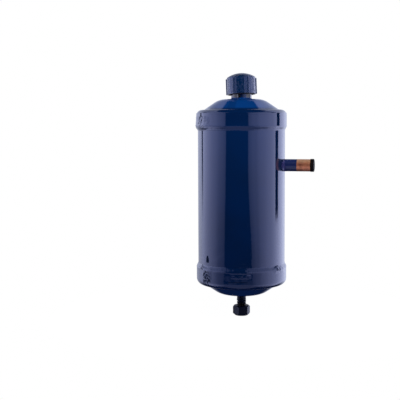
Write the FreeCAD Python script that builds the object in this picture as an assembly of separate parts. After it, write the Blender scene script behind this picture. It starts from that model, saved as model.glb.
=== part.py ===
# Vertical liquid receiver: a welded steel vessel with two pressed end caps, a threaded neck for the
# outlet valve on top, a copper solder stub on the side and a mounting stud underneath.
# Millimetres. +Z is up along the vessel's axis, the origin is the root of the mounting stud at the
# lowest point of the bottom cap, and the inlet stub points along +X.
import FreeCAD, Part
import math
import os

V = FreeCAD.Vector

# Vessel
shell_diameter = 108.0
shell_wall = 2.0
shell_length = 201.1
cap_wall = 2.0
cap_fit = 0.05             # radial clearance between the shell and the skirt that slips over it
shoulder_radius = 7.4      # outside radius between a cap's face and its skirt
skirt_depth = 21.8         # from the face of a cap's rim to the edge of its skirt
rim_flat = 1.6             # flat ring between the shoulder and the crease
crease_radius = 2.5        # outside radius of the hollow crease where the dome rises
dome_slope = 34.2          # degrees, the cone between the crease and the crown
crown_radius = 25.1        # outside radius of the crown
land_margin = 5.1          # flat top left round the neck's weld
shell_end_gap = 0.5        # from the end of the shell to where the shoulder starts to turn
seam_leg = 5.0             # height of the seam weld on the shell
seam_crown = 0.35          # how far the seam weld bulges past a straight chamfer

# Weld lump on the top seam
lump_height = 16.0
lump_width = 38.0
lump_rise = 1.3            # how far the lump stands proud of the skirt
lump_angle = -148.0        # degrees from the inlet stub, seen from above
lump_overhang = 3.2        # how far the lump reaches below the skirt's edge

# Threaded neck and its pipe
neck_thread_diameter = 25.4
neck_thread_pitch = 25.4 / 14   # what the protective cap rises in one turn
neck_relief_depth = 1.2    # groove between the collar and the thread
neck_height = 24.0         # above the crown
neck_chamfer = 1.0
neck_run_in = 4.0          # from the protective cap's rim up to the first thread
neck_collar_rise = 1.8     # how far the collar reaches above the protective cap's rim
neck_bore = 11.0
neck_seat_bore = 17.0      # mouth of the sealing seat
neck_seat_depth = 2.5
neck_tail = 3.0            # below the inside of the crown
neck_hole_fit = 0.1        # radial clearance in the end cap
neck_weld_leg = 1.6
dip_tube_diameter = 12.7
dip_tube_wall = 1.0
dip_tube_fit = 0.05
dip_tube_seat = 12.0       # how far the dip tube goes up into the neck
dip_tube_foot_gap = 9.0    # from the inside of the bottom crown to the tube's lowest point
dip_tube_cut = 30.0        # degrees, the slant of its foot
braze_leg = 1.2

# Inlet stub
inlet_drop = 60.4          # from the shell's upper end down to the stub's axis
inlet_diameter = 15.0
inlet_socket_bore = 12.8
inlet_socket_depth = 12.0
inlet_bore = 10.7
inlet_reach = 35.5         # from the shell's surface to the end of the stub
inlet_tail = 3.0           # inside the shell
inlet_hole_fit = 0.1
inlet_weld_leg = 2.4
inlet_lip = 0.5            # chamfer in the mouth of the socket

# Thin cap pushed over the end of the stub
inlet_cap_fit = 0.05       # radial clearance on the tube
inlet_cap_wall = 0.35
inlet_cap_end = 0.9        # thickness of its end wall
inlet_cap_skirt = 3.2      # how far it covers the tube
inlet_cap_round = 0.8
inlet_cap_gap = 0.1        # from the tube's end to the end wall

# Mounting stud and its nut
stud_diameter = 12.0
stud_shank_diameter = 11.2
stud_shank_length = 7.0
stud_length = 27.6
stud_chamfer = 1.2
stud_weld_leg = 1.8
nut_across_flats = 19.0
nut_height = 12.4
nut_fit = 0.06             # radial clearance on the stud's thread
nut_chamfer_angle = 40.0   # degrees
nut_end_share = 0.83       # flat circle on the nut's lower face over the width across flats
nut_top_share = 0.96       # the same on its upper face
nut_turn = -6.4            # degrees from the inlet stub to the middle of a flat

# Ribbed protective cap and its sealing disc
cap_rim_gap = 5.7          # from the crown up to the protective cap's rim
cap_play = 1.15            # radial play on the neck's thread, which lets the cap stand askew
cap_lean = 5.0             # degrees
cap_lean_way = 127.5       # degrees from the inlet stub to the side that the cap's top leans to
cap_sleeve_wall = 1.2
cap_groove = 1.2
cap_skirt_wall = 1.6
cap_sleeve_recess = 1.0    # from the rim up to the end of the threaded sleeve
cap_ceiling_gap = 1.45     # room that the lean needs over the sealing disc
cap_crown_rise = 4.9       # from the ceiling to the top of the crown
cap_crown_radius = 32.0
cap_crown_wall = 2.0
cap_corner_radius = 2.2
cap_ceiling_seat = 1.6     # width of the ring that presses on the sealing disc
cap_groove_roof = 1.5      # from the top of the side wall down to the groove's roof
rib_count = 6
rib_rise = 1.25
rib_radius = 1.1
rib_turn = 9.0             # degrees from the inlet stub to the first rib
rib_top_drop = 1.3         # from the top of the side wall down to the ribs' tops
liner_thickness = 1.5
liner_inset = 0.2          # from the neck's thread in to the disc's edge

# Sizes and places that follow
shell_radius = shell_diameter / 2
cap_radius = shell_radius + cap_fit + cap_wall
shoulder_centre = cap_radius - shoulder_radius
crease_bend = math.radians(dome_slope)
crease_tangent = crease_radius * math.tan(crease_bend / 2)
crease_centre = shoulder_centre - rim_flat
neck_radius = neck_thread_diameter / 2
land_radius = neck_radius + neck_weld_leg + land_margin
cone_top = land_radius + crown_radius * math.sin(crease_bend)
dome_height = (crown_radius * (1 - math.cos(crease_bend))
               + (crease_centre - crease_tangent - cone_top) * math.tan(crease_bend))

bottom_rim = dome_height
shell_bottom = bottom_rim + shoulder_radius + shell_end_gap
shell_top = shell_bottom + shell_length
top_rim = shell_top + shell_end_gap + shoulder_radius
crown_top = top_rim + dome_height
top_skirt_edge = top_rim - skirt_depth

neck_top = crown_top + neck_height
neck_bottom = crown_top - cap_wall - neck_tail
dip_tube_top = neck_bottom + dip_tube_seat
dip_tube_foot = cap_wall + dip_tube_foot_gap
inlet_height = shell_top - inlet_drop
inlet_end = shell_radius + inlet_reach
cap_rim = crown_top + cap_rim_gap
cap_ceiling = neck_top + liner_thickness + cap_ceiling_gap
cap_bore_radius = neck_radius + cap_play
sleeve_radius = cap_bore_radius + cap_sleeve_wall
groove_radius = sleeve_radius + cap_groove
cap_side_radius = groove_radius + cap_skirt_wall
cap_crown_centre = cap_ceiling + cap_crown_rise - cap_crown_radius
cap_side_top = cap_crown_centre + math.sqrt(cap_crown_radius ** 2 - cap_side_radius ** 2)


def line(a, b):
    """Straight edge in the XZ plane between two (radius, height) points."""
    return Part.LineSegment(V(a[0], 0, a[1]), V(b[0], 0, b[1])).toShape()


def arc(centre, radius, start, end):
    """Arc in the XZ plane, angles in degrees from the outward direction, turning either way."""
    def at(angle):
        t = math.radians(angle)
        return V(centre[0] + radius * math.cos(t), 0, centre[1] + radius * math.sin(t))
    return Part.Arc(at(start), at((start + end) / 2), at(end)).toShape()


def outline(*points):
    """Closed straight-sided outline through (radius, height) points."""
    return [line(points[i], points[(i + 1) % len(points)]) for i in range(len(points))]


def turned(edges, axis=V(0, 0, 1), base=V(0, 0, 0)):
    """Solid of revolution of a closed outline in the XZ plane."""
    wire = Part.Wire(Part.__sortEdges__(edges))
    return Part.Face(wire).revolve(base, axis, 360)


def cylinder(radius, bottom, top):
    return Part.makeCylinder(radius, top - bottom, V(0, 0, bottom))


def along_inlet(shape):
    """Lays a solid turned about +Z along the inlet stub's axis."""
    shape.rotate(V(0, 0, 0), V(0, 1, 0), 90)
    shape.translate(V(0, 0, inlet_height))
    return shape


def upside_down(shape):
    """Turns a top piece over to its place at the bottom of the vessel."""
    shape.rotate(V(0, 0, crown_top / 2), V(1, 0, 0), 180)
    return shape


def fillet_ring(radius, height, leg_out, leg_up):
    """Hollow fillet of weld metal in the corner between a flat face and a round post."""
    mid = (radius + 0.36 * leg_out, height + 0.36 * leg_up)
    toe_out = V(radius + leg_out, 0, height)
    toe_up = V(radius, 0, height + leg_up)
    return turned([
        line((radius, height), (radius + leg_out, height)),
        Part.Arc(toe_out, V(mid[0], 0, mid[1]), toe_up).toShape(),
        line((radius, height + leg_up), (radius, height)),
    ])


def dome_outline(inset):
    """One side of a cap's section from the axis to the skirt's edge, moved in by inset."""
    slope = dome_slope
    crown_centre = (land_radius, crown_top - crown_radius)
    crease = (crease_centre, top_rim + crease_radius)
    shoulder = (shoulder_centre, top_rim - shoulder_radius)
    hollow = crease_radius + inset
    crown = crown_radius - inset
    turn = math.radians(slope)
    crown_end = (crown_centre[0] + crown * math.sin(turn), crown_centre[1] + crown * math.cos(turn))
    crease_start = (crease[0] - hollow * math.sin(turn), crease[1] - hollow * math.cos(turn))
    return [
        line((0, crown_top - inset), (land_radius, crown_top - inset)),
        arc(crown_centre, crown, 90, 90 - slope),
        line(crown_end, crease_start),
        arc(crease, hollow, 270 - slope, 270),
        line((crease_centre, top_rim - inset), (shoulder_centre, top_rim - inset)),
        arc(shoulder, shoulder_radius - inset, 90, 0),
        line((cap_radius - inset, top_rim - shoulder_radius), (cap_radius - inset, top_skirt_edge)),
    ]


def end_cap():
    """Pressed end cap in the top place: domed crown, crease, rolled shoulder and skirt, one wall."""
    edges = dome_outline(0) + dome_outline(cap_wall)
    edges.append(line((cap_radius - cap_wall, top_skirt_edge), (cap_radius, top_skirt_edge)))
    edges.append(line((0, crown_top - cap_wall), (0, crown_top)))
    return turned(edges)


def top_end_cap():
    hole = cylinder(neck_radius + neck_hole_fit, crown_top - 2 * cap_wall, crown_top + cap_wall)
    return end_cap().cut(hole)


def shell_tube():
    tube = cylinder(shell_radius, shell_bottom, shell_top)
    tube = tube.cut(cylinder(shell_radius - shell_wall, shell_bottom, shell_top))
    drill = cylinder(inlet_diameter / 2 + inlet_hole_fit, shell_radius / 2, inlet_end)
    return tube.cut(along_inlet(drill))


def seam_ring():
    """Weld bead under the top skirt's edge, from the shell out to the skirt's outer face."""
    toe = top_skirt_edge - seam_leg
    start = V(shell_radius, 0, toe)
    end = V(cap_radius, 0, top_skirt_edge)
    run = end.sub(start)
    mid = start.add(run.multiply(0.5)).add(V(seam_crown, 0, -seam_crown))
    return turned([
        line((shell_radius, top_skirt_edge), (cap_radius, top_skirt_edge)),
        Part.Arc(end, mid, start).toShape(),
        line((shell_radius, toe), (shell_radius, top_skirt_edge)),
    ])


def seam_lump():
    """Heap of weld metal where the seam's run starts and ends, lying on the skirt and the shell."""
    ball = Part.makeSphere(1.0)
    reach = cap_wall + lump_rise
    size = FreeCAD.Matrix()
    size.scale(reach, lump_width / 2, lump_height / 2)
    lump = ball.transformGeometry(size)
    lump.translate(V(cap_radius - cap_wall, 0, top_skirt_edge - lump_overhang + lump_height / 2))
    lump.rotate(V(0, 0, 0), V(0, 0, 1), lump_angle)
    lump = lump.cut(cylinder(cap_radius, top_skirt_edge, crown_top))
    return lump.cut(cylinder(shell_radius, 0, top_skirt_edge))


def top_seam_weld():
    return seam_ring().fuse(seam_lump()).removeSplitter()


def bottom_seam_weld():
    return upside_down(seam_ring())


def threaded_neck():
    """Turned neck: plain collar, relief groove, thread, sealing seat, bore and dip tube socket."""
    collar_top = cap_rim + neck_collar_rise
    relief_top = cap_rim + neck_run_in
    relief = neck_radius - neck_relief_depth
    socket = dip_tube_diameter / 2 + dip_tube_fit
    return turned(outline(
        (neck_radius, neck_bottom),
        (neck_radius, collar_top),
        (relief, collar_top),
        (relief, relief_top - neck_relief_depth),
        (neck_radius, relief_top),
        (neck_radius, neck_top - neck_chamfer),
        (neck_radius - neck_chamfer, neck_top),
        (neck_seat_bore / 2, neck_top),
        (neck_bore / 2, neck_top - neck_seat_depth),
        (neck_bore / 2, dip_tube_top),
        (socket, dip_tube_top),
        (socket, neck_bottom),
    ))


def neck_weld():
    return fillet_ring(neck_radius, crown_top, neck_weld_leg, neck_weld_leg)


def dip_tube():
    """Straight pipe from the neck down to the slanted foot near the bottom of the vessel."""
    radius = dip_tube_diameter / 2
    tube = cylinder(radius, dip_tube_foot, dip_tube_top)
    tube = tube.cut(cylinder(radius - dip_tube_wall, dip_tube_foot, dip_tube_top))
    size = 4 * dip_tube_diameter
    knife = Part.makeBox(size, size, size, V(-size / 2, -size / 2, -size))
    knife.rotate(V(0, 0, 0), V(0, 1, 0), dip_tube_cut)
    knife.translate(V(0, 0, dip_tube_foot + radius * math.tan(math.radians(dip_tube_cut))))
    return tube.cut(knife)


def dip_tube_braze():
    ring = fillet_ring(dip_tube_diameter / 2, 0, braze_leg, braze_leg)
    ring.rotate(V(0, 0, 0), V(1, 0, 0), 180)
    ring.translate(V(0, 0, neck_bottom))
    return ring


def inlet_tube():
    """Copper stub with a solder socket in its mouth and a smaller bore behind it."""
    outer = inlet_diameter / 2
    socket = inlet_socket_bore / 2
    start = shell_radius - shell_wall - inlet_tail
    stop = inlet_end - inlet_socket_depth
    return along_inlet(turned(outline(
        (inlet_bore / 2, start),
        (outer, start),
        (outer, inlet_end),
        (socket + inlet_lip, inlet_end),
        (socket, inlet_end - inlet_lip),
        (socket, stop),
        (inlet_bore / 2, stop),
    )))


def inlet_weld():
    """Fillet round the stub that follows the saddle where the tube enters the shell."""
    outer = inlet_diameter / 2
    saddle = shell_radius - math.sqrt(shell_radius ** 2 - (outer + inlet_weld_leg) ** 2)
    toe = shell_radius + inlet_weld_leg
    root = shell_radius - saddle
    flare = fillet_ring(outer, root, inlet_weld_leg, toe - root)
    return along_inlet(flare).cut(cylinder(shell_radius, 0, crown_top))


def inlet_cap():
    """Thin moulded cap over the stub's end: a skirt, a rounded corner and an end wall."""
    inner = inlet_diameter / 2 + inlet_cap_fit
    outer = inner + inlet_cap_wall
    edge = inlet_end - inlet_cap_skirt
    floor = inlet_end + inlet_cap_gap
    end = floor + inlet_cap_end
    corner = (outer - inlet_cap_round, end - inlet_cap_round)
    return along_inlet(turned([
        line((0, floor), (inner, floor)),
        line((inner, floor), (inner, edge)),
        line((inner, edge), (outer, edge)),
        line((outer, edge), (outer, corner[1])),
        arc(corner, inlet_cap_round, 0, 90),
        line((corner[0], end), (0, end)),
        line((0, end), (0, floor)),
    ]))


def mounting_stud():
    """Welded stud with a plain shank, a rolled thread and a chamfered point."""
    shank = stud_shank_diameter / 2
    thread = stud_diameter / 2
    return turned(outline(
        (0, 0),
        (shank, 0),
        (shank, -stud_shank_length),
        (thread, -stud_shank_length - (thread - shank)),
        (thread, -stud_length + stud_chamfer),
        (thread - stud_chamfer, -stud_length),
        (0, -stud_length),
    ))


def stud_weld():
    ring = fillet_ring(stud_shank_diameter / 2, 0, stud_weld_leg, stud_weld_leg)
    ring.rotate(V(0, 0, 0), V(1, 0, 0), 180)
    return ring


def stud_nut():
    """Hexagon nut flush with the end of the stud, chamfered more on its lower face."""
    apothem = nut_across_flats / 2
    corner = apothem / math.cos(math.pi / 6)
    bottom = -stud_length
    top = bottom + nut_height
    corners = [V(corner * math.cos(math.radians(60 * i + 30)), corner * math.sin(math.radians(60 * i + 30)),
                 bottom) for i in range(7)]
    prism = Part.Face(Part.makePolygon(corners)).extrude(V(0, 0, nut_height))
    end_face = apothem * nut_end_share
    top_face = apothem * nut_top_share
    slope = math.tan(math.radians(nut_chamfer_angle))
    envelope = turned(outline(
        (0, bottom), (end_face, bottom), (corner, bottom + (corner - end_face) * slope),
        (corner, top - (corner - top_face) * slope), (top_face, top), (0, top),
    ))
    nut = prism.common(envelope)
    nut = nut.cut(cylinder(stud_diameter / 2 + nut_fit, bottom - 1, top + 1))
    nut.rotate(V(0, 0, 0), V(0, 0, 1), nut_turn)
    return nut


def neck_cap():
    """Protective cap standing askew: ribbed skirt, sleeve inside it and a domed crown of even wall."""
    seat = cap_bore_radius - cap_ceiling_seat
    inner_crown = cap_crown_radius - cap_crown_wall
    roof = cap_side_top - cap_groove_roof

    def crown_edge(radius, at):
        """Arc of the crown from the axis out to the radius given."""
        end = math.degrees(math.acos(at / radius))
        return arc((0, cap_crown_centre), radius, 90, end)

    def crown_height(radius, at):
        return cap_crown_centre + math.sqrt(radius ** 2 - at ** 2)

    body = turned([
        crown_edge(cap_crown_radius, cap_side_radius),
        line((cap_side_radius, cap_side_top), (cap_side_radius, cap_rim)),
        line((cap_side_radius, cap_rim), (groove_radius, cap_rim)),
        line((groove_radius, cap_rim), (groove_radius, roof)),
        line((groove_radius, roof), (sleeve_radius, roof)),
        line((sleeve_radius, roof), (sleeve_radius, cap_rim + cap_sleeve_recess)),
        line((sleeve_radius, cap_rim + cap_sleeve_recess), (cap_bore_radius, cap_rim + cap_sleeve_recess)),
        line((cap_bore_radius, cap_rim + cap_sleeve_recess), (cap_bore_radius, cap_ceiling)),
        line((cap_bore_radius, cap_ceiling), (seat, cap_ceiling)),
        line((seat, cap_ceiling), (seat, crown_height(inner_crown, seat))),
        crown_edge(inner_crown, seat),
        line((0, crown_height(inner_crown, 0)), (0, crown_height(cap_crown_radius, 0))),
    ])
    corner = [e for e in body.Edges
              if abs(e.BoundBox.ZMin - cap_side_top) < 1e-4 and abs(e.BoundBox.ZMax - cap_side_top) < 1e-4]
    body = body.makeFillet(cap_corner_radius, corner)
    rib_place = cap_side_radius + rib_rise - rib_radius
    ribs = []
    for i in range(rib_count):
        rib = Part.makeCylinder(rib_radius, cap_side_top - rib_top_drop - cap_rim, V(rib_place, 0, cap_rim))
        rib.rotate(V(0, 0, 0), V(0, 0, 1), rib_turn + 360.0 / rib_count * i)
        ribs.append(rib)
    body = body.multiFuse(ribs).removeSplitter()
    pivot = V(0, 0, (cap_rim + cap_sleeve_recess + neck_top) / 2)
    across = math.radians(cap_lean_way + 90)
    body.rotate(pivot, V(math.cos(across), math.sin(across), 0), cap_lean)
    return body


def cap_liner():
    return cylinder(neck_radius - liner_inset, neck_top, neck_top + liner_thickness)


pieces = {
    "shell_tube": shell_tube,
    "top_end_cap": top_end_cap,
    "bottom_end_cap": lambda: upside_down(end_cap()),
    "top_seam_weld": top_seam_weld,
    "bottom_seam_weld": bottom_seam_weld,
    "threaded_neck": threaded_neck,
    "neck_weld": neck_weld,
    "dip_tube": dip_tube,
    "dip_tube_braze": dip_tube_braze,
    "inlet_tube": inlet_tube,
    "inlet_weld": inlet_weld,
    "inlet_cap": inlet_cap,
    "mounting_stud": mounting_stud,
    "stud_weld": stud_weld,
    "stud_nut": stud_nut,
    "neck_cap": neck_cap,
    "cap_liner": cap_liner,
}

os.makedirs("parts", exist_ok=True)
for name, make in pieces.items():
    shape = make()
    shape.exportStep("parts/" + name + ".step")
    print(name, len(shape.Solids), shape.isValid(), round(shape.Volume, 1))
print("crown height", round(dome_height, 3), "vessel", round(crown_top, 3), "neck top", round(neck_top, 3),
      "inlet", round(inlet_height, 3), "end", round(inlet_end, 3), "cap rim", round(cap_rim, 3),
      "pitch", round(neck_thread_pitch, 4))
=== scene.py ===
# Looks of the vertical liquid receiver: enamel, bare metal, weld beads, threads, studio and camera.
# Metres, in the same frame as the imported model: +Z up, the inlet stub along +X.
# A place round the vessel, named TURN, is in degrees from the stub, anticlockwise as seen from above.
import bpy
import math
from collections import namedtuple
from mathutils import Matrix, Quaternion, Vector, noise


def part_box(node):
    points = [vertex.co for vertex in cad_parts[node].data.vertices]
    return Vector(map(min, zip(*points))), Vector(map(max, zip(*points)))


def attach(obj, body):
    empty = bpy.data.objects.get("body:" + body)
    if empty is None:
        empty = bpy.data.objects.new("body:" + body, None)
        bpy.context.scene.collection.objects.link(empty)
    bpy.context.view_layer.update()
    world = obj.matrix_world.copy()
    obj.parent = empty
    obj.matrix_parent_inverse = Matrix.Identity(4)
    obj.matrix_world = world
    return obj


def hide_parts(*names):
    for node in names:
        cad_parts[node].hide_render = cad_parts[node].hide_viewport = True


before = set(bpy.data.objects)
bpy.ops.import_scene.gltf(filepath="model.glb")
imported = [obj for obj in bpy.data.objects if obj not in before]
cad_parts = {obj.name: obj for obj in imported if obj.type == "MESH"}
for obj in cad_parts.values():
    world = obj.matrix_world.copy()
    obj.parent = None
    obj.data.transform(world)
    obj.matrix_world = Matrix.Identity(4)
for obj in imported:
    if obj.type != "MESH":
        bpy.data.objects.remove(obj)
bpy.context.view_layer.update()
MM = 0.001

# Camera, worked out from the outlines of the vessel in the photograph
CAMERA_DISTANCE = 1.1198
CAMERA_HEIGHT = 0.2163
LOOK_DOWN = 5.02           # degrees
CAMERA_ROLL = -0.26        # degrees
STUB_TOWARDS_CAMERA = 14.0 # degrees
AXIS_RIGHT_OF_CENTRE = 0.0517
FOCAL_PIXELS = 900.0
FRAME_PIXELS = 400.0
SENSOR = 36.0

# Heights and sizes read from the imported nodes
NODE = {name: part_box(name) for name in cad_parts}


def lowest(node):
    return NODE[node][0][2]


def highest(node):
    return NODE[node][1][2]


def half_width(node, axis):
    """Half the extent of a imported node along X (0) or Y (1)."""
    return (NODE[node][1][axis] - NODE[node][0][axis]) / 2


VESSEL_TOP = highest("top_end_cap")
SHELL_RADIUS = half_width("shell_tube", 1)
SKIRT_RADIUS = half_width("bottom_end_cap", 1)
TOP_SKIRT_EDGE = lowest("top_end_cap")
BOTTOM_SKIRT_EDGE = highest("bottom_end_cap")
STUB_HEIGHT = (lowest("inlet_tube") + highest("inlet_tube")) / 2
STUB_RADIUS = 7.5 * MM
STUD_END = lowest("mounting_stud")
STEP_RISE = 2.0 * MM       # how far the upper skirt's edge is drawn up, to where the weld's step shows
CAP_RIM = VESSEL_TOP + 5.7 * MM
CAP_LEAN = 5.0             # degrees; the cap stands askew on its thread
CAP_LEAN_TURN = 217.5      # direction of the line that the cap leans about
CAP_LEAN_HEIGHT = VESSEL_TOP + 15.35 * MM


# Node trees

class Wire:
    """A shader socket that takes part in Python sums; each sum adds a Math node."""

    def __init__(self, recipe, socket):
        self.recipe = recipe
        self.socket = socket

    def __add__(self, other):
        return self.recipe.maths("ADD", self, other)

    def __radd__(self, other):
        return self.recipe.maths("ADD", other, self)

    def __sub__(self, other):
        return self.recipe.maths("SUBTRACT", self, other)

    def __rsub__(self, other):
        return self.recipe.maths("SUBTRACT", other, self)

    def __mul__(self, other):
        return self.recipe.maths("MULTIPLY", self, other)

    def __rmul__(self, other):
        return self.recipe.maths("MULTIPLY", other, self)

    def __truediv__(self, other):
        return self.recipe.maths("DIVIDE", self, other)

    def __rtruediv__(self, other):
        return self.recipe.maths("DIVIDE", other, self)

    def __abs__(self):
        return self.recipe.maths("ABSOLUTE", self)

    def rise(self, low, high):
        """0 below low, 1 above high, with a smooth step between; high may be the smaller."""
        settings = {"interpolation_type": "SMOOTHSTEP"}
        if low < high:
            return self.recipe.node("ShaderNodeMapRange", settings, self, low, high, 0.0, 1.0)
        return self.recipe.node("ShaderNodeMapRange", settings, self, high, low, 1.0, 0.0)

    def near(self, place, reach):
        """1 at place, falling smoothly to 0 at reach away from it."""
        return abs(self - place).rise(reach, 0.0)


class Recipe:
    """The node tree of one material, or of the surroundings."""

    def __init__(self, tree):
        self.tree = tree
        tree.nodes.clear()

    def node(self, kind, settings, *values, out=0, named=None):
        """Adds a node: settings first, then the values or links of its sockets."""
        made = self.tree.nodes.new(kind)
        for key, value in settings.items():
            if key == "stops":
                self.fill_ramp(made.color_ramp, value)
            else:
                setattr(made, key, value)
        for slot, value in list(enumerate(values)) + list((named or {}).items()):
            self.plug(made.inputs[slot], value)
        return Wire(self, made.outputs[out]) if made.outputs else None

    def plug(self, slot, value):
        """Links a wire to a socket, or sets the socket's value; None leaves the socket as it is."""
        if isinstance(value, Wire):
            self.tree.links.new(value.socket, slot)
        elif value is not None:
            slot.default_value = value

    def fill_ramp(self, ramp, stops):
        """Gives a colour ramp its stops, each a place and a colour."""
        while len(ramp.elements) > 1:
            ramp.elements.remove(ramp.elements[-1])
        ramp.elements[0].position = stops[0][0]
        ramp.elements[0].color = stops[0][1]
        for place, colour in stops[1:]:
            ramp.elements.new(place).color = colour

    def maths(self, operation, *values):
        return self.node("ShaderNodeMath", {"operation": operation}, *values)

    def place(self):
        """The point's place in the frame."""
        return self.node("ShaderNodeTexCoord", {}, out="Object")

    def parts(self, vector):
        """The three parts of a vector."""
        outputs = self.node("ShaderNodeSeparateXYZ", {}, vector).socket.node.outputs
        return [Wire(self, output) for output in outputs]

    def angle(self, x, y):
        """Angle round the Z axis in degrees, from -180 to 180."""
        return self.maths("ARCTAN2", y, x) * (180 / math.pi)

    def reach(self, x, y):
        """Distance from the Z axis."""
        return self.maths("SQRT", x * x + y * y)

    def larger(self, first, second):
        return self.maths("MAXIMUM", first, second)

    def stretched(self, vector, scale):
        return self.node("ShaderNodeMapping", {}, vector, named={"Scale": scale})

    def grain(self, vector, scale, detail=2.0, rough=0.5):
        """Cloudy noise between 0 and 1; scale is in cells per metre."""
        named = {"Vector": vector, "Scale": scale, "Detail": detail, "Roughness": rough}
        return self.node("ShaderNodeTexNoise", {}, named=named)

    def cells(self, vector, scale):
        """Distance to the nearest of many scattered points."""
        return self.node("ShaderNodeTexVoronoi", {}, named={"Vector": vector, "Scale": scale})

    def colours(self, mask, first, second):
        """First colour where the mask is 0, second where it is 1."""
        settings = {"data_type": "RGBA"}
        return self.node("ShaderNodeMix", settings, out=2, named={0: mask, 6: first, 7: second})

    def bumps(self, *layers):
        """Normal of one or more layers, each a height from 0 to 1 and its depth in metres."""
        normal = None
        for height, depth in layers:
            named = {"Height": height, "Distance": depth, "Strength": 1.0, "Normal": normal}
            normal = self.node("ShaderNodeBump", {}, named=named)
        return normal

    def principled(self, named):
        return self.node("ShaderNodeBsdfPrincipled", {}, named=named)

    def finish(self, surface):
        """Links a surface to the material's output."""
        self.node("ShaderNodeOutputMaterial", {}, surface)


def material(name):
    made = bpy.data.materials.new(name)
    made.use_nodes = True
    return made, Recipe(made.node_tree)


def rgb(red, green, blue):
    return (red, green, blue, 1.0)


def grey(level):
    return rgb(level, level, level)


# Finishes

ENAMEL = rgb(0.0009, 0.031, 0.150)
ENAMEL_SHADED = rgb(0.0009, 0.018, 0.088)
ENAMEL_PAINTED_LIGHT = rgb(0.002, 0.075, 0.360)
ENAMEL_THIN = rgb(0.004, 0.022, 0.080)
ENAMEL_IOR = 1.6
ENAMEL_MIRROR = rgb(0.70, 0.73, 1.0)
# Near black: real soot in the marks on the enamel, and painted shadow on the neck under the cap.
SOOT_AND_SHADE = rgb(0.004, 0.006, 0.014)
BLACK_PLASTIC = rgb(0.012, 0.010, 0.011)

# Marks low on the vessel
SPATTER_TURN = -128.5
SPATTER_HEIGHT = 23.5 * MM
TICK_HEIGHT = 48.2 * MM
SCUFF_TURN = -26.0
SCUFF_HEIGHT = 29.0 * MM
DRIP_TURN = -83.0
DRIP_HEIGHT = 24.0 * MM

# Places on the domes, the cap, the neck and the stub
DOME_EDGE = 46.0 * MM      # distance from the axis where the painted light on the domes begins
DOME_FULL = 42.0 * MM      # and where it is full
SHADE_FAN_TURN = -96.0           # middle of the painted shade fan on the upper dome
FLUTES = 36                # fine flutes round the cap
NECK_HIGHLIGHT_TURN = -95.0
NECK_SPRAY_TURN = -68.0
STUB_PAINT_END = 69.9 * MM


def enamel_relief(recipe, where, height):
    """The sheet's gentle waves, deeper ones low down, orange peel and a little dust under the enamel."""
    waves = recipe.grain(recipe.stretched(where, (1.0, 1.0, 0.45)), 34.0, 1.0)
    low_waves = recipe.grain(where, 70.0) * height.rise(110.0 * MM, 30.0 * MM)
    peel = recipe.grain(where, 420.0)
    dust = recipe.cells(where, 260.0).rise(0.10, 0.02)
    return recipe.bumps((waves, 0.08 * MM), (low_waves, 0.16 * MM), (peel, 0.005 * MM), (dust, 0.02 * MM))


def smudges(recipe, where, angle, z):
    """Spatter low on the left with a tick above it, a drip in front and a scuff on the right."""
    specks = recipe.grain(where, 330.0, 3.0, 0.7).rise(0.45, 0.51)
    spatter = (angle.near(SPATTER_TURN, 11.0) * z.near(SPATTER_HEIGHT, 16.0 * MM)).rise(0.05, 0.5)
    tick_width = 2.0 + 1.6 * z.rise(53.0 * MM, 47.0 * MM)
    tick = (abs(angle - SPATTER_TURN) / tick_width).rise(1.0, 0.6)
    tick = tick * z.near(TICK_HEIGHT, 6.2 * MM).rise(0.05, 0.4)
    rubbed = recipe.grain(recipe.stretched(where, (1.0, 1.0, 2.0)), 200.0, 4.0, 0.7).rise(0.42, 0.66)
    scuff = angle.near(SCUFF_TURN, 24.0) * z.near(SCUFF_HEIGHT, 6.5 * MM)
    drip = (z + 1.6 * MM * recipe.grain(where, 130.0)).near(DRIP_HEIGHT, 0.9 * MM)
    drip = drip * angle.near(DRIP_TURN, 15.0).rise(0.0, 0.2)
    return specks * spatter * 1.2 + tick + rubbed * scuff * 0.22 + drip * 0.8


def enamel():
    """Deep blue gloss enamel on the vessel, with painted light on the domes, painted shade in a fan on the
    upper dome and high on the shell, and sooty marks low down.
    """
    made, recipe = material("deep_blue_enamel")
    where = recipe.place()
    x, y, z = recipe.parts(where)
    angle = recipe.angle(x, y)
    cloud = recipe.grain(where, 22.0, 3.0)
    haze = recipe.grain(where, 55.0, 3.0)
    sides = recipe.colours(cloud.rise(0.35, 0.75) * 0.35, ENAMEL, ENAMEL_THIN)
    # Painted shade: darker enamel from 200 mm up, over the upper band and the shoulder.
    sides = recipe.colours(z.rise(200.0 * MM, 225.0 * MM) * 0.6, sides, ENAMEL_SHADED)
    # Painted light: a brighter blue on the upper dome, and 0.35 as much of it on the lower dome.
    upper = z.rise(VESSEL_TOP - 18.0 * MM, VESSEL_TOP - 14.0 * MM)
    lower = z.rise(18.0 * MM, 14.0 * MM)
    domes = recipe.reach(x, y).rise(DOME_EDGE, DOME_FULL) * (upper + 0.35 * lower)
    # Painted shade: a darker fan on the upper dome.
    painted_fan_shade = angle.near(SHADE_FAN_TURN, 10.0).rise(0.0, 0.4)
    gloss = recipe.principled({
        "Base Color": recipe.colours(domes, sides, recipe.colours(painted_fan_shade * 0.35, ENAMEL_PAINTED_LIGHT, ENAMEL)),
        "Roughness": 0.035 + 0.03 * haze,
        "IOR": ENAMEL_IOR,
        "Specular Tint": ENAMEL_MIRROR,
        "Normal": enamel_relief(recipe, where, z),
    })
    grime = recipe.principled({
        "Base Color": recipe.colours(cloud, SOOT_AND_SHADE, ENAMEL_THIN),
        "Roughness": 0.55 + 0.2 * haze,
        "IOR": 1.12,
    })
    marks = smudges(recipe, where, angle, z).rise(0.0, 1.0)
    recipe.finish(recipe.node("ShaderNodeMixShader", {}, marks, gloss, grime))
    return made


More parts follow.
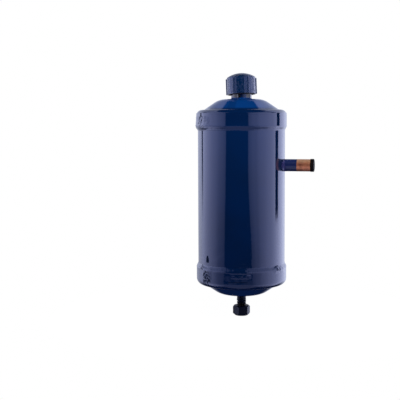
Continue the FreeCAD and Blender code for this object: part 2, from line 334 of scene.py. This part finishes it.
def sprayed_cap():
    """Enamel sprayed over the black plastic cap: it stops at the rim and never reached inside."""
    made, recipe = material("sprayed_cap")
    where = recipe.place()
    way = math.radians(CAP_LEAN_TURN)
    upright = recipe.node("ShaderNodeVectorRotate", {"rotation_type": "AXIS_ANGLE"}, where, named={
        "Center": (0, 0, CAP_LEAN_HEIGHT),
        "Axis": (math.cos(way), math.sin(way), 0),
        "Angle": -math.radians(CAP_LEAN),
    })
    x, y, z = recipe.parts(upright)
    reach = recipe.reach(x, y)
    ragged = z + recipe.grain(where, 500.0) * (0.8 * MM)
    skirt = reach.rise(17.0 * MM, 17.4 * MM) * ragged.rise(CAP_RIM + 0.4 * MM, CAP_RIM + 0.9 * MM)
    crown = z.rise(CAP_RIM + 20.0 * MM, CAP_RIM + 20.3 * MM)
    painted = recipe.larger(skirt, crown)
    patchy = recipe.grain(where, 260.0, 3.0).rise(0.42, 0.7) * 0.3
    paint = recipe.colours(patchy, rgb(0.0015, 0.030, 0.115), rgb(0.004, 0.015, 0.050))
    droplets = recipe.cells(where, 800.0).rise(0.5, 0.1)
    flutes = 0.5 + 0.5 * recipe.maths("SINE", recipe.angle(x, y) * (FLUTES * math.pi / 180))
    flutes = flutes * reach.rise(15.0 * MM, 17.5 * MM)
    pebbles = recipe.grain(where, 420.0)
    recipe.finish(recipe.principled({
        "Base Color": recipe.colours(painted, BLACK_PLASTIC, paint),
        "Roughness": 0.30 - 0.18 * painted + 0.06 * droplets,
        "IOR": ENAMEL_IOR,
        "Specular Tint": ENAMEL_MIRROR,
        "Normal": recipe.bumps((flutes, 0.08 * MM), (droplets, 0.18 * MM), (pebbles, 0.10 * MM)),
    }))
    return made


def turned_steel():
    """Bare turned steel of the neck, with a painted highlight streak in front, sprayed at its foot, and a
    painted shadow just under the cap.
    """
    made, recipe = material("turned_steel")
    where = recipe.place()
    x, y, z = recipe.parts(where)
    angle = recipe.angle(x, y)
    cloud = recipe.grain(where, 180.0, 4.0, 0.6)
    bare = recipe.colours(cloud.rise(0.3, 0.7), rgb(0.078, 0.075, 0.074), rgb(0.046, 0.043, 0.041))
    # Painted highlight: a bright vertical streak on the front of the neck.
    painted_streak_highlight = (angle + 8.0 * cloud).near(NECK_HIGHLIGHT_TURN, 7.0).rise(0.0, 0.7)
    bare = recipe.colours(painted_streak_highlight * 0.85, bare, rgb(0.36, 0.345, 0.34))
    mist = recipe.grain(where, 700.0)
    # Painted shadow: near black on the neck just under the cap's rim.
    painted_cap_shadow = (z + 0.6 * MM * mist).rise(CAP_RIM + 0.1 * MM, CAP_RIM + 1.0 * MM)
    foot = (z + 1.2 * MM * mist).rise(VESSEL_TOP + 2.6 * MM, VESSEL_TOP + 1.2 * MM)
    side = (angle + 15.12 * mist - 7.0).near(NECK_SPRAY_TURN, 26.0).rise(0.1, 0.5)
    spray = recipe.larger(foot, side * 0.9)
    grooves = recipe.grain(recipe.stretched(where, (1.0, 1.0, 60.0)), 60.0, 1.0)
    recipe.finish(recipe.principled({
        "Base Color": recipe.colours(painted_cap_shadow * 0.92, recipe.colours(spray, bare, ENAMEL), SOOT_AND_SHADE),
        "Metallic": 0.75 * (1.0 - spray) * (1.0 - painted_cap_shadow),
        "Roughness": 0.16 + 0.14 * cloud + 0.4 * painted_cap_shadow,
        "Normal": recipe.bumps((grooves, 0.03 * MM)),
    }))
    return made


def drawn_copper():
    """Copper stub: sprayed blue next to the vessel, then bare and mottled, with a painted highlight along its
    top.
    """
    made, recipe = material("drawn_copper")
    where = recipe.place()
    x, _, z = recipe.parts(where)
    ragged = x + recipe.grain(where, 300.0) * (0.9 * MM)
    painted = ragged.rise(STUB_PAINT_END + 0.4 * MM, STUB_PAINT_END)
    stain = recipe.grain(where, 150.0, 4.0, 0.7)
    spots = recipe.grain(where, 420.0, 3.0, 0.6).rise(0.56, 0.70)
    mottled = 1.0 - 0.75 * x.rise(74.5 * MM, 81.0 * MM)
    # Painted highlight: lighter copper and lighter blue paint along the stub's top.
    painted_top_highlight = (z + 4.0 * MM * stain).rise(STUB_HEIGHT + 3.5 * MM, STUB_HEIGHT + 8.5 * MM)
    bare = recipe.colours(stain.rise(0.38, 0.62) * mottled, rgb(1.0, 0.36, 0.17), rgb(0.52, 0.15, 0.085))
    bare = recipe.colours(painted_top_highlight * 0.9, bare, rgb(1.0, 0.56, 0.32))
    bare = recipe.colours(spots * 0.55 * mottled, bare, rgb(0.20, 0.07, 0.055))
    coat = recipe.colours(painted_top_highlight * 0.6, rgb(0.019, 0.034, 0.155), rgb(0.036, 0.060, 0.230))
    scratches = recipe.grain(recipe.stretched(where, (1.0, 9.0, 9.0)), 120.0)
    streaks = recipe.grain(recipe.stretched(where, (0.15, 1.0, 1.0)), 500.0)
    pits = recipe.grain(where, 400.0)
    recipe.finish(recipe.principled({
        "Base Color": recipe.colours(painted, bare, coat),
        "Metallic": (1.0 - painted) * (0.6 - 0.5 * painted_top_highlight),
        "Roughness": 0.24 + (1.0 - painted) * (0.06 + 0.22 * stain),
        "IOR": ENAMEL_IOR,
        "Normal": recipe.bumps((scratches, 0.03 * MM), (streaks, 0.10 * MM), (pits, 0.03 * MM)),
    }))
    return made


def dull_enamel():
    """Enamel lying thick and dull over the stub's fillet, hazy with overspray."""
    made, recipe = material("dull_enamel")
    where = recipe.place()
    haze = recipe.grain(where, 220.0, 3.0, 0.6)
    colour = recipe.colours(haze.rise(0.35, 0.65), rgb(0.030, 0.030, 0.180), rgb(0.048, 0.042, 0.215))
    recipe.finish(recipe.principled({
        "Base Color": colour,
        "Roughness": 0.38 + 0.12 * haze,
        "IOR": 1.5,
        "Normal": recipe.bumps((recipe.grain(where, 500.0), 0.05 * MM)),
    }))
    return made


def moulded_black(name):
    """Black moulded plastic or rubber with a faint pebbled surface."""
    made, recipe = material(name)
    where = recipe.place()
    cloud = recipe.grain(where, 240.0, 3.0)
    colour = recipe.colours(cloud.rise(0.35, 0.7), BLACK_PLASTIC, rgb(0.026, 0.019, 0.018))
    recipe.finish(recipe.principled({
        "Base Color": colour,
        "Roughness": 0.6 + 0.12 * cloud,
        "IOR": 1.1,
        "Normal": recipe.bumps((recipe.grain(where, 1500.0), 0.02 * MM)),
    }))
    return made


def painted_nut():
    """Nut of black steel with a thin, patchy film of the enamel."""
    made, recipe = material("painted_nut")
    where = recipe.place()
    cloud = recipe.grain(where, 260.0, 4.0, 0.6)
    film = recipe.colours(cloud.rise(0.35, 0.7), rgb(0.004, 0.006, 0.028), rgb(0.009, 0.011, 0.026))
    recipe.finish(recipe.principled({
        "Base Color": film,
        "Roughness": 0.32 + 0.2 * cloud,
        "IOR": 1.20,
        "Normal": recipe.bumps((recipe.grain(where, 600.0, 3.0), 0.05 * MM)),
    }))
    return made


def stud_metal():
    """Stud: dark blue at its root, thinning to bare brown steel on the thread near the nut."""
    made, recipe = material("stud_metal")
    where = recipe.place()
    height = recipe.parts(where)[2]
    cloud = recipe.grain(where, 420.0, 4.0, 0.65)
    painted = (height + cloud * (6.0 * MM)).rise(-12.5 * MM, -7.5 * MM)
    bare = recipe.colours(cloud.rise(0.35, 0.7), rgb(0.070, 0.048, 0.028), rgb(0.032, 0.022, 0.016))
    recipe.finish(recipe.principled({
        "Base Color": recipe.colours(painted, bare, rgb(0.0015, 0.004, 0.016)),
        "Metallic": 0.45 - 0.45 * painted,
        "Roughness": 0.42 + 0.2 * cloud,
        "IOR": 1.25,
        "Normal": recipe.bumps((cloud, 0.06 * MM)),
    }))
    return made


def plain_metal(name, light, dark, rough):
    """Plain drawn or brazed metal inside the vessel."""
    made, recipe = material(name)
    cloud = recipe.grain(recipe.place(), 150.0, 3.0)
    recipe.finish(recipe.principled({
        "Base Color": recipe.colours(cloud.rise(0.3, 0.7), light, dark),
        "Metallic": 1.0,
        "Roughness": rough + 0.15 * cloud,
        "Normal": recipe.bumps((cloud, 0.04 * MM)),
    }))
    return made


FINISH = {
    "enamel": enamel(),
    "dull_enamel": dull_enamel(),
    "cap": sprayed_cap(),
    "neck": turned_steel(),
    "copper": drawn_copper(),
    "stub_cap": moulded_black("stub_cap_plastic"),
    "liner": moulded_black("liner_rubber"),
    "nut": painted_nut(),
    "stud": stud_metal(),
    "pipe": plain_metal("drawn_steel", rgb(0.42, 0.41, 0.40), rgb(0.30, 0.28, 0.26), 0.3),
    "braze": plain_metal("braze_metal", rgb(0.70, 0.52, 0.28), rgb(0.50, 0.34, 0.18), 0.35),
}


def dress(node, finish):
    """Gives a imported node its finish."""
    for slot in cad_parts[node].material_slots:
        slot.material = FINISH[finish]


# Modelling helpers

MERGE_DISTANCE = 1e-6      # points closer than this become one


def start(name, place):
    """Begins a piece as one vertex at the place given, open in edit mode."""
    bpy.ops.object.select_all(action="DESELECT")
    bpy.ops.mesh.primitive_plane_add(size=1.0 * MM, location=place)
    piece = bpy.context.object
    piece.name = name
    bpy.ops.object.transform_apply(location=True, rotation=True, scale=True)
    bpy.ops.object.mode_set(mode="EDIT")
    bpy.ops.mesh.select_all(action="SELECT")
    bpy.ops.mesh.merge(type="CENTER")
    bpy.ops.mesh.select_mode(type="VERT")
    return piece


def turned(name, outline, steps):
    """Turns a closed outline of (radius, height) points round the Z axis into a piece."""
    piece = start(name, (outline[0][0], 0, outline[0][1]))
    last = outline[0]
    for point in [*outline[1:], outline[0]]:
        move = (point[0] - last[0], 0, point[1] - last[1])
        bpy.ops.mesh.extrude_region_move(TRANSFORM_OT_translate={"value": move})
        last = point
    bpy.ops.mesh.select_all(action="SELECT")
    bpy.ops.mesh.spin(steps=steps, angle=2 * math.pi, center=(0, 0, 0), axis=(0, 0, 1))
    bpy.ops.mesh.select_all(action="SELECT")
    bpy.ops.mesh.remove_doubles(threshold=MERGE_DISTANCE)
    bpy.ops.mesh.normals_make_consistent(inside=False)
    bpy.ops.object.mode_set(mode="OBJECT")
    return piece


def merged_copy(node, name):
    """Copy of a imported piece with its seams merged, to be shaped further."""
    bpy.ops.object.select_all(action="DESELECT")
    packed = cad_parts[node]
    packed.select_set(True)
    bpy.context.view_layer.objects.active = packed
    bpy.ops.object.duplicate()
    piece = bpy.context.object
    piece.name = name
    bpy.ops.object.mode_set(mode="EDIT")
    bpy.ops.mesh.select_all(action="SELECT")
    bpy.ops.mesh.remove_doubles(threshold=MERGE_DISTANCE)
    bpy.ops.object.mode_set(mode="OBJECT")
    return piece


def settle(piece, finish, node, sharp=35.0):
    """Smooths a piece of the vessel, gives it its finish, hangs it on the vessel's body and hides the imported
    node it stands for.
    """
    bpy.ops.object.select_all(action="DESELECT")
    piece.select_set(True)
    bpy.context.view_layer.objects.active = piece
    bpy.ops.object.shade_smooth_by_angle(angle=math.radians(sharp))
    piece.data.materials.clear()
    piece.data.materials.append(FINISH[finish])
    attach(piece, "vessel")
    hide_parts(node)


def ladder(radius, low, high, step):
    """Outline points up a straight wall, close enough together to carry a thread."""
    count = max(2, round((high - low) / step))
    return [(radius, low + (high - low) * i / count) for i in range(count + 1)]


# Threads

THREAD_POINTS = 9          # outline points on one pitch
FLANK_SLOPE = 1.35         # over 1, so that the flanks leave a flat at the root
CREST_FLAT = 0.12          # and one at the crest
NECK_PITCH = 25.4 * MM / 14
STUD_PITCH = 1.75 * MM


def cut_thread(piece, radius, pitch, depth, low, high, run_out):
    """Moves the points near the radius given on to a right-hand thread that fades out at both ends."""
    for point in piece.data.vertices:
        reach = math.hypot(point.co.x, point.co.y)
        if abs(reach - radius) > depth * 0.2 or not low <= point.co.z <= high:
            continue
        round_share = math.atan2(point.co.y, point.co.x) / (2 * math.pi)
        phase = (point.co.z / pitch - round_share) % 1.0
        flank = min(1.0, max(0.0, abs(phase - 0.5) * 2 * FLANK_SLOPE - CREST_FLAT))
        fade = min(1.0, (point.co.z - low) / run_out, (high - point.co.z) / run_out)
        scale = (radius - depth * flank * max(0.0, fade)) / reach
        point.co.x *= scale
        point.co.y *= scale


def threaded_neck():
    """Neck with its real thread, relief, sealing seat, bore and dip tube socket."""
    low, high = lowest("threaded_neck"), highest("threaded_neck")
    radius = half_width("threaded_neck", 0)
    groove = radius - 1.2 * MM
    collar_top = CAP_RIM + 1.8 * MM
    thread_foot = CAP_RIM + 4.0 * MM
    chamfer = 1.0 * MM
    seat, bore, socket = 8.5 * MM, 5.5 * MM, 6.4 * MM
    socket_end = low + 12.0 * MM
    outline = [
        (radius, low),
        (radius, collar_top),
        (groove, collar_top),
        (groove, thread_foot - 1.2 * MM),
        *ladder(radius, thread_foot, high - chamfer, NECK_PITCH / THREAD_POINTS),
        (radius - chamfer, high),
        (seat + 0.1 * MM, high),
        (seat, high - 0.1 * MM),
        (bore, high - 2.5 * MM),
        (bore, socket_end),
        (socket, socket_end),
        (socket, low),
    ]
    piece = turned("threaded_neck_turned", outline, 120)
    cut_thread(piece, radius, NECK_PITCH, 1.1 * MM, thread_foot, high - 0.9 * MM, 1.2 * MM)
    settle(piece, "neck", "threaded_neck", sharp=50.0)


def mounting_stud():
    """Stud with a plain shank at its root and a rolled thread down to its chamfered point."""
    radius = half_width("mounting_stud", 0) - 0.05 * MM
    shank = 5.6 * MM
    shank_foot, thread_top = -7.0 * MM, -7.5 * MM
    chamfer = 1.2 * MM
    outline = [
        (0.0, STUD_END),
        (radius - chamfer, STUD_END),
        *ladder(radius, STUD_END + chamfer, thread_top, STUD_PITCH / THREAD_POINTS),
        (shank, shank_foot),
        (shank, 0.0),
        (0.0, 0.0),
    ]
    piece = turned("mounting_stud_rolled", outline, 72)
    cut_thread(piece, radius, STUD_PITCH, 1.0 * MM, STUD_END + 0.8 * MM, thread_top, 1.4 * MM)
    settle(piece, "stud", "mounting_stud", sharp=50.0)


# Upper cap and stub joint

def upper_cap():
    """Upper pressed cap, its skirt drawn up a little to where the weld's step shows."""
    piece = merged_copy("top_end_cap", "upper_end_cap")
    for point in piece.data.vertices:
        if point.co.z < TOP_SKIRT_EDGE + 1.0 * MM:
            point.co.z += STEP_RISE
    settle(piece, "enamel", "top_end_cap")


def stub_joint():
    """Brazed fillet between the stub and the shell: narrow above and below, wide at its sides."""
    piece = merged_copy("inlet_weld", "stub_braze_fillet")
    narrow, widening, thinning = 0.10, 2.2, 0.6
    for point in piece.data.vertices:
        off, rise = point.co.y, point.co.z - STUB_HEIGHT
        reach = math.hypot(off, rise)
        if reach <= STUB_RADIUS:
            continue
        spread = narrow + widening * (off / reach) ** 4
        share = (STUB_RADIUS + spread * (reach - STUB_RADIUS)) / reach
        wall_before = math.sqrt(SHELL_RADIUS ** 2 - off ** 2)
        wall_after = math.sqrt(SHELL_RADIUS ** 2 - (off * share) ** 2)
        point.co.y = off * share
        point.co.z = STUB_HEIGHT + rise * share
        point.co.x = wall_after + (point.co.x - wall_before) * thinning
    settle(piece, "dull_enamel", "inlet_weld")


# Seam welds

BEAD_STEPS = 720           # round the vessel
BEAD_HEIGHT = 5.6 * MM     # from the skirt's edge to where the bead ends on the shell
BEAD_PROUD = 0.12 * MM     # how far the bead stands over the skirt
FACE_POINTS = 12
HIDDEN_DEPTH = 0.15 * MM   # how deep the bead's hidden part lies under the skirt
HIDDEN_RUN = 15.6 * MM     # how far it runs back over the skirt
HIDDEN_STEP = 0.6 * MM
HIDDEN_POINTS = 24
RIPPLES = 150              # round the vessel
RIPPLE_HEIGHT = 0.03 * MM
RIPPLE_MIDDLE = 2.0        # mm from the skirt's edge, where each ripple is furthest forward
RIPPLE_BEND = 0.07         # how much it trails away from there
WANDER = 0.14 * MM         # how far the bead drifts in and out on its way round
PATCHES = 0.12 * MM        # height of its smaller unevenness
SIDE_DRIFT = 0.4 * MM      # how far its edge on the shell drifts up and down

# A lump of weld. The turn is its middle, and the half width is in degrees. It reaches from low to high, in mm
# from the skirt's edge, over the skirt where they are negative. Its height and the spacing of its creases are
# in metres, and a flatness over 1 lays the creases flat.
Lump = namedtuple("Lump", "turn half_width low high height crease flatness")


def bead_section(edge, down):
    """Outline of a weld bead at a skirt's edge; down is -1 where the shell lies below the edge, and 1 above.

    The part that runs back over the skirt lies just under its surface and shows where a lump lifts it.
    """
    hidden = SKIRT_RADIUS - HIDDEN_DEPTH
    proud = SKIRT_RADIUS + BEAD_PROUD
    back = SHELL_RADIUS - 0.6 * MM
    lining = hidden - 0.3 * MM
    slope = SKIRT_RADIUS - SHELL_RADIUS + 0.14 * MM
    over = [(hidden, edge - down * (HIDDEN_RUN - HIDDEN_STEP * i)) for i in range(HIDDEN_POINTS)]
    lip = [(proud - 0.06 * MM, edge - down * 0.9 * MM), (proud, edge - down * 0.1 * MM)]
    face = []
    for i in range(1, FACE_POINTS + 1):
        t = i / FACE_POINTS
        eased = t - 0.448 * math.sin(2 * math.pi * t) / (2 * math.pi)
        face.append((proud - slope * eased, edge + down * BEAD_HEIGHT * t))
    rear = [
        (back, edge + down * 4.8 * MM),
        (back, edge + down * 0.4 * MM),
        (lining, edge - down * 0.4 * MM),
        (lining, edge - down * HIDDEN_RUN),
    ]
    return over + lip + face + rear


def folds(place, size, octaves):
    """Creases of crumpled sheet: 1 on a ridge, about 0 in a hollow; size is the crease spacing in metres."""
    total = 0.0
    for i in range(octaves):
        shifted = place * (2 ** i / size) + Vector((7.3 * i, 1.7, 4.1))
        total += (1.0 - 2.4 * abs(noise.noise(shifted))) / 2 ** i
    return total / (2.0 - 1.0 / 2 ** (octaves - 1))


def window(value, low, high):
    """1 in the middle of a range, falling to 0 at its ends."""
    if not low < value < high:
        return 0.0
    return min(1.0, 2.2 * math.sin(math.pi * (value - low) / (high - low)))


def swell(angle, middle, width):
    """1 at the middle, falling to 0 at the width away from it; all but the angle are in degrees."""
    away = abs((math.degrees(angle) - middle + 180) % 360 - 180)
    return 0.5 + 0.5 * math.cos(math.pi * min(1.0, away / width))


def lift_of(lumps, point, angle, rise):
    """How far the lumps lift a point of a bead; rise is in mm from the skirt's edge."""
    lift = 0.0
    for lump in lumps:
        weight = min(1.0, 1.7 * swell(angle, lump.turn, lump.half_width)) * window(rise, lump.low, lump.high)
        if weight == 0.0:
            continue
        place = Vector((point.x, point.y, point.z * lump.flatness))
        cover = HIDDEN_DEPTH if rise < 0 else 0.0
        lift += weight * (cover + lump.height * (0.45 + 0.55 * folds(place, lump.crease, 2)))
    return lift


def lay_ripples(piece, edge, down, lumps):
    """Weld ripples, a wandering bead and the lumps of weld where the run starts, ends or was mended."""
    for point in piece.data.vertices:
        reach = math.hypot(point.co.x, point.co.y)
        rise = (point.co.z - edge) * down / MM
        inner = SHELL_RADIUS - 0.3 * MM if rise > 0 else SKIRT_RADIUS - HIDDEN_DEPTH - 0.1 * MM
        if reach < inner:
            continue
        angle = math.atan2(point.co.y, point.co.x)
        across, along = math.cos(angle), math.sin(angle)
        body = max(0.0, math.sin(math.pi * min(1.0, max(0.0, (rise + 1.0) / 8.0))))
        wave = RIPPLE_HEIGHT * math.cos(angle * RIPPLES + RIPPLE_BEND * (rise - RIPPLE_MIDDLE) ** 2)
        drift = noise.noise(Vector((across * 4.0, along * 4.0, edge * 40)))
        patch = noise.noise(Vector((across * 13.0, along * 13.0, rise * 0.25)))
        out = (wave + WANDER * drift + PATCHES * patch) * body + lift_of(lumps, point.co, angle, rise)
        scale = (reach + out) / reach
        point.co.x *= scale
        point.co.y *= scale
        if rise > 0:
            point.co.z += down * SIDE_DRIFT * drift * min(1.0, rise / 3.0)


def seam_weld(name, node, edge, down, lumps):
    """Bead of weld round the vessel at a skirt's edge."""
    piece = turned(name, bead_section(edge, down), BEAD_STEPS)
    lay_ripples(piece, edge, down, lumps)
    settle(piece, "enamel", node, sharp=60.0)


# Studio

# Walls of the light tent: degrees to the right of the camera, and brightness
TENT_WALLS = [
    (-180, 0.22), (-160, 0.35), (-140, 0.58), (-125, 0.80), (-118, 0.82), (-105, 0.77),
    (-93, 0.69), (-82, 0.58), (-72, 0.52), (-62.5, 0.395), (-53.5, 0.32), (-45, 0.23),
    (-43.3, 0.18), (-42.3, 0.0), (14.0, 0.0), (15.0, 0.20), (19.6, 0.25), (28, 0.34),
    (36, 0.35), (44.5, 0.47), (53, 0.515), (62, 0.565), (72, 0.64), (82, 0.65),
    (93, 0.74), (105, 0.86), (120, 0.88), (140, 0.74), (165, 0.30), (180, 0.22),
]
TENT_STRENGTH = 3.0
TABLE_RADIUS = 0.24
LAMP_HEIGHT = 0.45
LAMP_FORWARD = 0.30        # from the axis towards the camera
LAMP_AIM = 0.2             # height on the axis that the lamp points at
LAMP_SIZE = 0.3
LAMP_POWER = 0.72


def to_camera():
    """Unit directions of the photograph: to its right, and away from the camera."""
    angle = math.radians(STUB_TOWARDS_CAMERA)
    right = Vector((math.cos(angle), math.sin(angle), 0.0))
    away = Vector((-math.sin(angle), math.cos(angle), 0.0))
    return right, away


def camera():
    """Camera of the photograph, looking down a little and slightly rolled."""
    right, away = to_camera()
    bpy.ops.object.select_all(action="DESELECT")
    bpy.ops.object.camera_add()
    made = bpy.context.object
    made.name = "camera"
    made.data.sensor_width = SENSOR
    made.data.lens = SENSOR * FOCAL_PIXELS / FRAME_PIXELS
    made.data.clip_start = 0.02
    made.data.clip_end = 20.0
    made.location = -right * AXIS_RIGHT_OF_CENTRE - away * CAMERA_DISTANCE + Vector((0, 0, CAMERA_HEIGHT))
    drop = math.radians(LOOK_DOWN)
    look = away * math.cos(drop) - Vector((0, 0, math.sin(drop)))
    roll = Quaternion((0, 0, 1), math.radians(CAMERA_ROLL))
    made.rotation_euler = (look.to_track_quat("-Z", "Y") @ roll).to_euler()
    bpy.context.scene.camera = made


def span(bearing, low, high, soft):
    """1 between two bearings, falling to 0 over the soft angle outside each."""
    return bearing.rise(low - soft, low) * bearing.rise(high + soft, high)


def tent_walls(recipe, bearing, z):
    """Brightness of the walls, whose edges beside the camera slant outwards towards the floor."""
    slant_right = 10.5 * z.rise(-0.045, -0.165) * bearing.rise(5, 14) * bearing.rise(75, 25)
    slant_left = 5.0 * z.rise(-0.01, -0.16) * bearing.rise(-20, -42) * bearing.rise(-100, -50)
    stops = [((degrees + 180) / 360, grey(level)) for degrees, level in TENT_WALLS]
    share = (bearing - slant_right + slant_left + 180.0) / 360.0
    return recipe.node("ShaderNodeValToRGB", {"stops": stops}, share)


def tent(recipe, bearing, z):
    """Brightness of the tent: walls with two narrow gaps, dimmer overhead and low down, over the table's edge.

    The bearing is in degrees to the right of the camera, and z is the height of the ray's unit direction.
    """
    gap_right = span(bearing, 98.5, 109.5, 1.0) * z.rise(-0.112, -0.100)
    gap_left = 0.9 * span(bearing, -131.5, -125.0, 1.0) * z.rise(-0.13, -0.035)
    from_camera = abs(bearing)
    ceiling = 0.82 - 0.18 * from_camera.rise(144.0, 180.0)
    on_left = bearing.rise(0, -5)
    dim_left = on_left * (0.36 + 0.22 * bearing.rise(-85, -60))
    dim_right = (1.0 - on_left) * 0.56 * bearing.rise(95, 10)
    dim_low = (dim_left + dim_right) * z.rise(0.03, -0.20) * z.rise(-0.58, -0.27)
    ground = (z - 0.32 * from_camera.rise(100.8, 136.8)).rise(-0.92, -0.50)
    overhead = 1.0 - 0.45 * z.rise(0.10, 0.60)
    lit = tent_walls(recipe, bearing, z) * (1.0 - (gap_right + gap_left)) * (1.0 - dim_low)
    lit = lit * (z - ceiling).rise(0.02, -0.02) * ground * overhead
    near_edge = 0.45 * z.rise(-0.1735, -0.1775) + 0.55 * z.rise(-0.19, -0.30)
    table = 0.003 + 0.14 * span(bearing, -52, 42, 28) * near_edge
    return recipe.larger(lit, table)


def surroundings():
    """Mirrored surfaces see a white tent, the camera a white backdrop, and the rest a low plain level."""
    world = bpy.data.worlds.new("light_tent")
    bpy.context.scene.world = world
    world.use_nodes = True
    recipe = Recipe(world.node_tree)
    ray = recipe.node("ShaderNodeTexCoord", {}, out="Generated")
    ray = recipe.node("ShaderNodeVectorRotate", {"rotation_type": "Z_AXIS"}, ray,
                      named={"Angle": -math.radians(STUB_TOWARDS_CAMERA)})
    x, y, z = recipe.parts(ray)
    bearing = recipe.angle(y * -1.0, x)
    mirrored = recipe.node("ShaderNodeLightPath", {}, out="Is Glossy Ray")
    straight = recipe.node("ShaderNodeLightPath", {}, out="Is Camera Ray")
    plain = 0.015 + 0.19 * z.rise(0.0, -0.5)
    strength = tent(recipe, bearing, z) * TENT_STRENGTH * mirrored + plain * (1.0 - mirrored) + 0.004
    tint = recipe.colours(bearing.rise(-20, 20), rgb(0.93, 1.00, 1.38), rgb(0.94, 1.00, 1.36))
    tint = recipe.colours(abs(bearing).rise(118.8, 165.6), tint, rgb(0.90, 0.96, 1.22))
    inside = recipe.node("ShaderNodeBackground", {}, tint, strength)
    backdrop = recipe.node("ShaderNodeBackground", {}, grey(1.0), 1.0)
    mixed = recipe.node("ShaderNodeMixShader", {}, straight, inside, backdrop)
    recipe.node("ShaderNodeOutputWorld", {}, mixed)


def overhead_lamp():
    """Soft lamp over the vessel; it lights the domes and casts the shadow but isn't mirrored."""
    away = to_camera()[1]
    bpy.ops.object.select_all(action="DESELECT")
    bpy.ops.object.light_add(type="AREA", location=Vector((0, 0, LAMP_HEIGHT)) - away * LAMP_FORWARD)
    lamp = bpy.context.object
    lamp.name = "overhead_lamp"
    lamp.data.shape = "DISK"
    lamp.data.size = LAMP_SIZE
    lamp.data.energy = LAMP_POWER
    lamp.rotation_euler = (Vector((0, 0, LAMP_AIM)) - lamp.location).to_track_quat("-Z", "Y").to_euler()
    lamp.visible_glossy = False


def floor():
    """White table under the object, seen by the camera alone: mostly glowing, with a faint shadow."""
    bpy.ops.object.select_all(action="DESELECT")
    bpy.ops.mesh.primitive_circle_add(vertices=96, radius=TABLE_RADIUS, fill_type="NGON",
                                      location=(0, 0, STUD_END - 0.3 * MM))
    table = bpy.context.object
    table.name = "table"
    made, recipe = material("white_table")
    straight = recipe.node("ShaderNodeLightPath", {}, out="Is Camera Ray")
    sheet = recipe.node("ShaderNodeBsdfDiffuse", {}, grey(0.86))
    clear = recipe.node("ShaderNodeBsdfTransparent", {})
    glow = recipe.node("ShaderNodeEmission", {}, grey(1.0), 1.06)
    shown = recipe.node("ShaderNodeMixShader", {}, 0.94, sheet, glow)
    recipe.finish(recipe.node("ShaderNodeMixShader", {}, straight, clear, shown))
    table.data.materials.append(made)


# Assembly

bpy.context.scene.view_settings.view_transform = "Standard"
camera()
surroundings()
overhead_lamp()
floor()

for node in ("shell_tube", "bottom_end_cap", "neck_weld", "stud_weld"):
    dress(node, "enamel")
dress("neck_cap", "cap")
dress("inlet_tube", "copper")
dress("inlet_cap", "stub_cap")
dress("cap_liner", "liner")
dress("stud_nut", "nut")
dress("dip_tube", "pipe")
dress("dip_tube_braze", "braze")

upper_cap()
threaded_neck()
stub_joint()
mounting_stud()
seam_weld("top_seam_bead", "top_seam_weld", TOP_SKIRT_EDGE + STEP_RISE, -1, [
    Lump(-148, 36, -13.0, 5.5, 0.85 * MM, 12.0 * MM, 1.2),
    Lump(40, 9, -3.0, 5.0, 0.3 * MM, 5.0 * MM, 1.0),
])
seam_weld("bottom_seam_bead", "bottom_seam_weld", BOTTOM_SKIRT_EDGE, 1, [
    Lump(-79, 18, -8.5, 5.0, 0.45 * MM, 9.0 * MM, 2.0),
    Lump(-128, 13, -13.0, 5.0, 0.45 * MM, 8.0 * MM, 1.4),
    Lump(-22, 17, -4.0, 5.0, 0.4 * MM, 5.0 * MM, 1.5),
    Lump(120, 10, -4.0, 5.0, 0.3 * MM, 5.0 * MM, 1.0),
])
